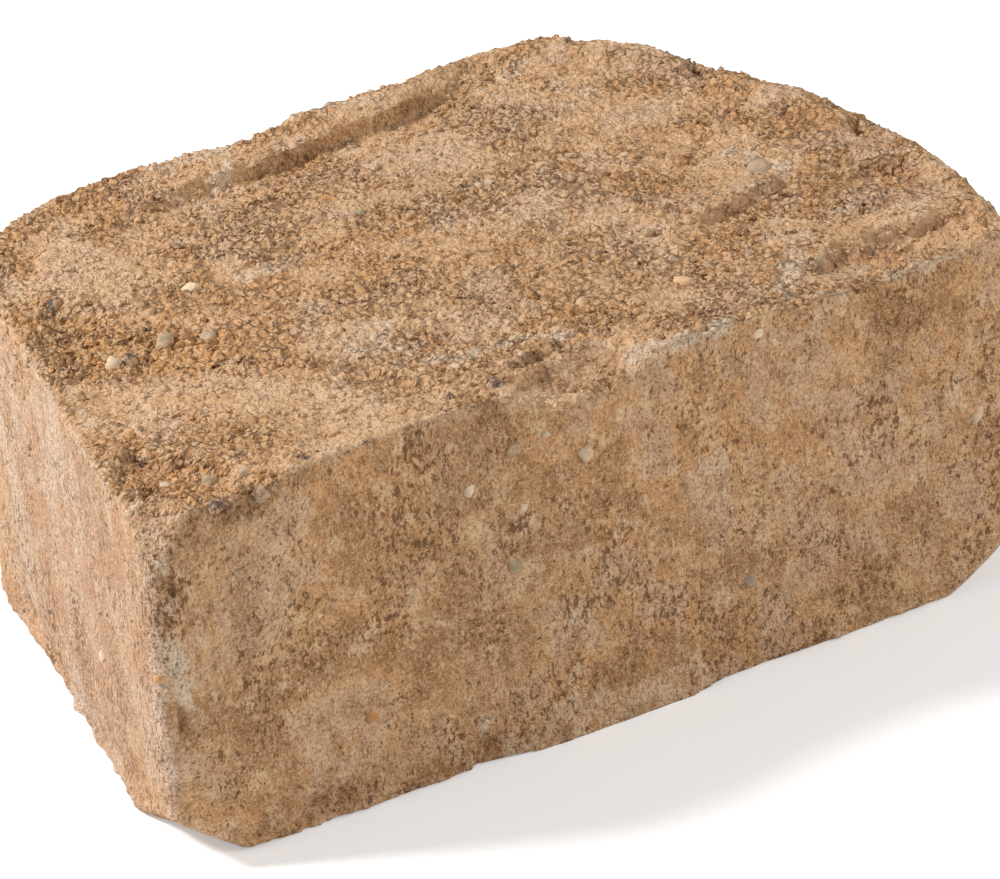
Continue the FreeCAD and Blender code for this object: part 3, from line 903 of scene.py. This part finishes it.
def make_grains(skin):
    """Grains half sunk in the skin, joined in one mesh."""
    count = SAND_COUNT
    points = read_vertices(skin, "co")
    normals = even_normals(skin, edge_array(skin), SAND_ROUNDS)
    fields = {name: read_field(skin, name) for name in SKIN_FIELDS}
    patches = layered_noise(points, SAND_PATCH_SIZE, seed=301, layers=3)
    patches = smooth_step(*SAND_PATCH_RANGE, patches)
    weight = (SAND_BETWEEN + (1 - SAND_BETWEEN) * patches) * fields["top"]
    weight = weight + SAND_BROKEN * fields["broken"] + SAND_EVERYWHERE
    weight *= (points[:, 2] > SAND_FLOOR_GAP) * (1 - SAND_RUBBED_OFF * fields["arris"])
    random = np.random.default_rng(seed=17)
    chosen = random.choice(len(points), count, replace=False, p=weight / weight.sum())
    corners, faces = ball(subdivisions=1)
    radius = random.uniform(*SAND_RADIUS, count) ** SAND_POWER * MM
    radius = radius * (1 + BROKEN_GROWTH * fields["broken"][chosen])
    radius = radius * (1 - ARRIS_LOSS * fields["arris"][chosen])
    shapes = corners[None] * random.uniform(*SAND_CORNERS, (count, len(corners), 1))
    shapes = shapes * random.uniform(*SAND_STRETCH, (count, 1, 3)) * radius[:, None, None]
    middles = points[chosen] + normals[chosen] * (radius * random.uniform(*SAND_SUNK, count))[:, None]
    placed = (shapes + middles[:, None]).reshape(-1, 3)
    joined = (faces[None] + np.arange(count)[:, None, None] * len(corners)).reshape(-1, 3)
    mesh = bpy.data.meshes.new("surface_grains")
    mesh.from_pydata(placed, [], joined)
    mesh.polygons.foreach_set("use_smooth", [True] * len(mesh.polygons))
    for name, values in fields.items():
        add_field(mesh, name, np.repeat(values[chosen], len(corners)))
    add_field(mesh, "shade", np.repeat(random.uniform(-1, 1, count), len(corners)))
    mesh.materials.append(skin.materials[0])
    grains = add_object("surface_grains", mesh)
    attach(grains, "root")


# Materials.

class Nodes:
    """Adds nodes and links to one material."""

    def __init__(self, name):
        self.material = bpy.data.materials.new(name)
        self.material.use_nodes = True
        self.tree = self.material.node_tree
        self.shader = self.tree.nodes["Principled BSDF"]

    def add(self, kind, inputs=None, **settings):
        node = self.tree.nodes.new(kind)
        for name, value in settings.items():
            setattr(node, name, value)
        for name, value in (inputs or {}).items():
            self.feed(node.inputs[name], value)
        return node

    def feed(self, socket, value):
        if isinstance(value, bpy.types.NodeSocket):
            self.tree.links.new(value, socket)
        else:
            socket.default_value = value

    def finish(self, **inputs):
        """Feed the shader's inputs, whose names are written with an underscore for each space."""
        for name, value in inputs.items():
            self.feed(self.shader.inputs[name.replace("_", " ")], value)
        return self.material

    def place(self):
        return self.add("ShaderNodeTexCoord").outputs["Object"]

    def field(self, name, output="Fac"):
        return self.add("ShaderNodeAttribute", attribute_name=name).outputs[output]

    def math(self, operation, first, second):
        return self.add("ShaderNodeMath", {0: first, 1: second}, operation=operation).outputs[0]

    def times(self, first, second):
        return self.math("MULTIPLY", first, second)

    def vector(self, operation, inputs):
        return self.add("ShaderNodeVectorMath", inputs, operation=operation).outputs[0]

    def steps(self, value, low, high, to_low=0.0, to_high=1.0):
        """The value mapped smoothly from one range to another."""
        inputs = {"Value": value, "From Min": low, "From Max": high, "To Min": to_low, "To Max": to_high}
        return self.add("ShaderNodeMapRange", inputs, interpolation_type="SMOOTHSTEP").outputs["Result"]

    def blend(self, share, first, second):
        node = self.add("ShaderNodeMix", data_type="RGBA")
        for name, value in (("Factor", share), ("A", first), ("B", second)):
            self.feed(node.inputs[name], value)
        return node.outputs["Result"]

    def noise(self, where, size, detail, roughness):
        inputs = {"Vector": where, "Scale": 1 / size, "Detail": detail, "Roughness": roughness}
        return self.add("ShaderNodeTexNoise", inputs).outputs["Fac"]

    def cells(self, where, size):
        """The distance to the nearest of many scattered points, and that point's own number."""
        node = self.add("ShaderNodeTexVoronoi", {"Vector": where, "Scale": 1 / size})
        parts = self.add("ShaderNodeSeparateColor", {"Color": node.outputs["Color"]})
        return node.outputs["Distance"], parts.outputs["Red"]

    def shifted(self, where, size, amount):
        """The place moved about by noise, so that cells get uneven outlines."""
        noise = self.add("ShaderNodeTexNoise", {"Vector": where, "Scale": 1 / size, "Detail": 0.0})
        bend = self.vector("SUBTRACT", {0: noise.outputs["Color"], 1: (0.5, 0.5, 0.5)})
        return self.vector("ADD", {0: where, 1: self.vector("SCALE", {"Vector": bend, "Scale": amount})})

    def mix(self, values, weights):
        """The sum of named values, each with its weight."""
        parts = [self.times(values[name], weight) for name, weight in weights.items()]
        total = parts[0]
        for part in parts[1:]:
            total = self.math("ADD", total, part)
        return total

    def cover(self, body, values, layers):
        """The body's colour with layers of tone over it."""
        for layer in layers:
            share = self.steps(values[layer.value], layer.begins, layer.complete, layer.least, layer.most)
            if layer.within:
                share = self.times(values[layer.within], share)
            body = self.blend(share, body, layer.tone)
        return body

    def bump(self, height, strength, distance):
        inputs = {"Height": height, "Strength": strength, "Distance": distance}
        return self.add("ShaderNodeBump", inputs).outputs["Normal"]


def colour(red, green, blue):
    return (red, green, blue, 1.0)


# Linear colours of the paste, of what lies on it, and of the painted shade in its gaps, pits and hollows; one
# of these browns is also the paste's dark dust.
TAN = colour(0.61, 0.355, 0.18)
ORANGE_TAN = colour(0.60, 0.32, 0.14)
PINK_TAN = colour(0.57, 0.375, 0.25)
ROSE = colour(0.44, 0.265, 0.175)
BROWN = colour(0.35, 0.18, 0.08)
PALE = colour(0.75, 0.56, 0.38)
CHALK = colour(0.66, 0.52, 0.38)
MILKY = colour(0.58, 0.46, 0.37)
CLAY = colour(0.51, 0.34, 0.235)
SAND = colour(0.72, 0.49, 0.29)
PIT_SHADE_BROWN = colour(0.12, 0.055, 0.025)
SHADE_AND_DUST_BROWN = colour(0.17, 0.075, 0.028)
RUST_ORANGE = colour(0.58, 0.28, 0.085)

# Heights are squeezed for textures that stand upright, on the left, or lean that way.
SQUEEZES = {"upright": 0.42, "leaning": 0.7}

# Textures that the material makes: the place they follow, their size, how many layers, and how rough.
TEXTURES = {
    "mottle": ("leaning", 6 * MM, 4, 0.7),
    "fleck": ("leaning", 1.9 * MM, 2, 0.7),
    "dust": ("plain", 0.7 * MM, 1, 0.6),
    "streaks": ("upright", 6.5 * MM, 5, 0.78),
    "speck noise": ("leaning", 1.5 * MM, 3, 0.8),
}
CRUMB_CELL = 2.5 * MM
CRUMB_BEND_SIZE = 1.9 * MM
CRUMB_BEND = 2.2 * MM
GRAIN_CELL = 1.25 * MM

# Sums of values, each with its weight. "all" is 1 everywhere.
MIXES = {
    "wide tones": {"side": 0.50, "all": 0.25},
    "mottled tones": {"side": 0.45, "all": 0.35},
    "chalk": {"pale": 0.36, "mottle": 0.8, "tint": 0.12, "fleck": 0.30},
    "chalky": {"pale": 0.6, "all": 0.4},
    "dusty": {"side": 0.25, "all": 0.3},
    "pit_shade": {"speck noise": 1.0, "crowd": 0.14, "shade_and_stain": -0.03},
    "crumb size": {"crumb number": 0.7, "all": 0.5},
    "crumb share": {"loose": 0.9, "all": 0.1},
}
FINE_RELIEF = {"crumb height": 1.7, "fleck": 1.1, "dust": 0.5, "mottle": 1.05, "gap": -0.5}

# One tone over another: the value that drives it, the values at which it begins and is complete, how strong
# it is there, the tone, the value that it is weakened by, and how strong it is where it begins.
Layer = namedtuple("Layer", "value begins complete most tone within least", defaults=(None, 0))

PASTE_LAYERS = (
    Layer("blotch", -0.15, 0.2, 1, TAN),
    Layer("tint", 0.0, 0.28, 0.65, PINK_TAN),
    Layer("loose", 0.9, 0.3, 0.3, PALE, "top"),
    Layer("tint", 0.0, -0.32, 1, BROWN, "wide tones"),
    Layer("mottle", 0.53, 0.66, 1, SAND, "mottled tones"),
    Layer("mottle", 0.49, 0.34, 1, BROWN, "mottled tones"),
)
LEFT_LAYERS = (
    Layer("tint", -0.15, 0.15, 1, CLAY),
    Layer("blotch", -0.05, -0.25, 0.6, ORANGE_TAN),
    Layer("streak", 0.02, 0.30, 0.75, MILKY),
    Layer("streaks", 0.52, 0.64, 0.7, MILKY),
    Layer("streaks", 0.47, 0.35, 0.75, BROWN),
)
# The wear and stains with painted shade, then each crumb's and grain's own tone, the dust between them, and
# painted shade in the cracks between the grains.
WORN_LAYERS = (
    Layer("mottle", 0.35, 0.6, 1, RUST_ORANGE, "broken"),
    # Painted shade on facets, notches, hollows and turned-away bands, together with brown stains.
    Layer("mottle", 0.62, 0.40, 0.9, BROWN, "shade_and_stain", 0.35),
    Layer("chalk", 0.80, 1.00, 0.9, CHALK, "chalky"),
    Layer("mottle", 0.38, 0.58, 0.6, PALE, "arris", 0.1),
    Layer("crumb number", 0.55, 1.0, 0.3, PALE, "loose"),
    Layer("crumb number", 0.35, 0.0, 0.3, BROWN, "loose"),
    Layer("grain number", 0.6, 1.0, 0.25, PALE),
    Layer("grain number", 0.35, 0.0, 0.25, BROWN),
    Layer("shade", 0, 1, 0.3, PALE),
    Layer("shade", 0, -1, 0.25, BROWN),
    Layer("dust", 0.52, 0.70, 1, SAND, "dusty"),
    Layer("dust", 0.48, 0.28, 1, SHADE_AND_DUST_BROWN, "dusty"),
    # Painted shade in the cracks between the grains.
    Layer("grain", 0.55, 0.85, 0.4, BROWN),
)
STONE_LAYERS = (Layer("dust", 0.44, 0.60, 0.8, TAN, None, 0.05),)

LEFT_STRENGTH = 0.85
CRACK_SHADE_STEPS = (0.60, 0.82, 0, 0.62)
PIT_SHADE_STEPS = (0.43, 0.365)
PIT_SHADE_STRENGTH = 0.75
HOLLOW_SHADE_STRENGTH = 0.3
CRUMB_STEPS = (0.85, 0.1)
CONCRETE_ROUGHNESS = 0.92
CONCRETE_SPECULAR = 0.2
CONCRETE_BUMP = (1.0, 1.0 * MM)
STONE_ROUGHNESS = 0.75
STONE_DUST = (2 * MM, 4, 0.75)
STONE_GRIT = (0.9 * MM, 4, 0.7)
STONE_BUMP = (0.5, 0.25 * MM)


def make_concrete():
    nodes = Nodes("tumbled_concrete")
    places = {"plain": nodes.place()}
    for name, squeeze in SQUEEZES.items():
        mapping = nodes.add("ShaderNodeMapping", {"Vector": places["plain"], "Scale": (1, 1, squeeze)})
        places[name] = mapping.outputs["Vector"]

    values = {name: nodes.field(name) for name in (*SKIN_FIELDS, "hollow", "shade")}
    values["all"] = 1.0
    values["side"] = nodes.math("SUBTRACT", 1.0, nodes.math("MAXIMUM", values["top"], values["broken"]))
    for name, (place, size, detail, roughness) in TEXTURES.items():
        values[name] = nodes.noise(places[place], size, detail, roughness)
    bent = nodes.shifted(places["plain"], CRUMB_BEND_SIZE, CRUMB_BEND)
    values["crumb"], values["crumb number"] = nodes.cells(bent, CRUMB_CELL)
    values["grain"], values["grain number"] = nodes.cells(places["plain"], GRAIN_CELL)
    for name, weights in MIXES.items():
        values[name] = nodes.mix(values, weights)

    body = nodes.cover(ORANGE_TAN, values, PASTE_LAYERS)
    left_body = nodes.cover(ROSE, values, LEFT_LAYERS)
    body = nodes.blend(nodes.times(values["left"], LEFT_STRENGTH), body, left_body)
    body = nodes.cover(body, values, WORN_LAYERS)
    # Painted shade in the cracks between the crumbs; the same cracks also sink in the bump.
    values["gap"] = nodes.times(nodes.steps(values["crumb"], *CRACK_SHADE_STEPS), values["loose"])
    body = nodes.blend(values["gap"], body, SHADE_AND_DUST_BROWN)
    # Dark specks on the sides: painted shade of small pits that the mesh doesn't have.
    pit_shade = nodes.times(nodes.steps(values["pit_shade"], *PIT_SHADE_STEPS), values["side"])
    body = nodes.blend(nodes.times(pit_shade, PIT_SHADE_STRENGTH), body, PIT_SHADE_BROWN)
    # Painted shade in the mesh's hollows.
    body = nodes.blend(nodes.times(values["hollow"], HOLLOW_SHADE_STRENGTH), body, SHADE_AND_DUST_BROWN)

    crumb_height = nodes.times(nodes.steps(values["crumb"], *CRUMB_STEPS), values["crumb size"])
    values["crumb height"] = nodes.times(crumb_height, values["crumb share"])
    normal = nodes.bump(nodes.mix(values, FINE_RELIEF), *CONCRETE_BUMP)
    nodes.shader.inputs["Roughness"].default_value = CONCRETE_ROUGHNESS
    nodes.shader.inputs["Specular IOR Level"].default_value = CONCRETE_SPECULAR
    return nodes.finish(Base_Color=body, Normal=normal)


def make_stone_material():
    nodes = Nodes("exposed_stone")
    place = nodes.place()
    dust = nodes.noise(place, *STONE_DUST)
    body = nodes.cover(nodes.field("stone_colour", "Color"), {"dust": dust}, STONE_LAYERS)
    normal = nodes.bump(nodes.noise(place, *STONE_GRIT), *STONE_BUMP)
    nodes.shader.inputs["Roughness"].default_value = STONE_ROUGHNESS
    return nodes.finish(Base_Color=body, Normal=normal)


# Floor, lamps and world.

FLOOR_SIZE = 6.0
FLOOR_WHITE = 0.8
FLOOR_GLOW = 0.35
FLOOR_ROUGHNESS = 0.9

Lamp = namedtuple("Lamp", "place size power")
LAMPS = {
    "key_light": Lamp((-1.4, 0.65, 1.35), 0.35, 45),
    "fill_light": Lamp((1.2, -1.4, 0.9), 0.8, 15),
}
LAMP_TARGET = (0, 0, 0.05)
WORLD_STRENGTH = 0.4


def make_stage():
    size = FLOOR_SIZE
    mesh = bpy.data.meshes.new("floor")
    corners = [(-size, -size, 0), (size, -size, 0), (size, size, 0), (-size, size, 0)]
    mesh.from_pydata(corners, [], [(0, 1, 2, 3)])
    floor = add_object("floor", mesh)
    nodes = Nodes("floor_white")
    nodes.shader.inputs["Base Color"].default_value = colour(FLOOR_WHITE, FLOOR_WHITE, FLOOR_WHITE)
    nodes.shader.inputs["Roughness"].default_value = FLOOR_ROUGHNESS
    nodes.shader.inputs["Emission Color"].default_value = colour(1, 1, 1)
    path = nodes.add("ShaderNodeLightPath").outputs
    seen = nodes.math("MAXIMUM", path["Is Glossy Ray"], path["Is Transmission Ray"])
    seen = nodes.math("MAXIMUM", path["Is Camera Ray"], seen)
    mesh.materials.append(nodes.finish(Emission_Strength=nodes.times(seen, FLOOR_GLOW)))


def make_lights():
    for name, lamp in LAMPS.items():
        data = bpy.data.lights.new(name, "AREA")
        data.shape = "DISK"
        data.size = lamp.size
        data.energy = lamp.power
        light = add_object(name, data)
        light.location = lamp.place
        facing = Vector(LAMP_TARGET) - Vector(lamp.place)
        light.rotation_euler = facing.to_track_quat("-Z", "Y").to_euler()
    world = bpy.data.worlds.new("studio")
    bpy.context.scene.world = world
    world.use_nodes = True
    background = world.node_tree.nodes["Background"]
    background.inputs["Color"].default_value = colour(1, 1, 1)
    background.inputs["Strength"].default_value = WORLD_STRENGTH


make_camera()
make_stage()
make_lights()
skin = make_block()
make_stones(skin)
make_grains(skin)
bpy.context.scene.view_settings.view_transform = "Standard"
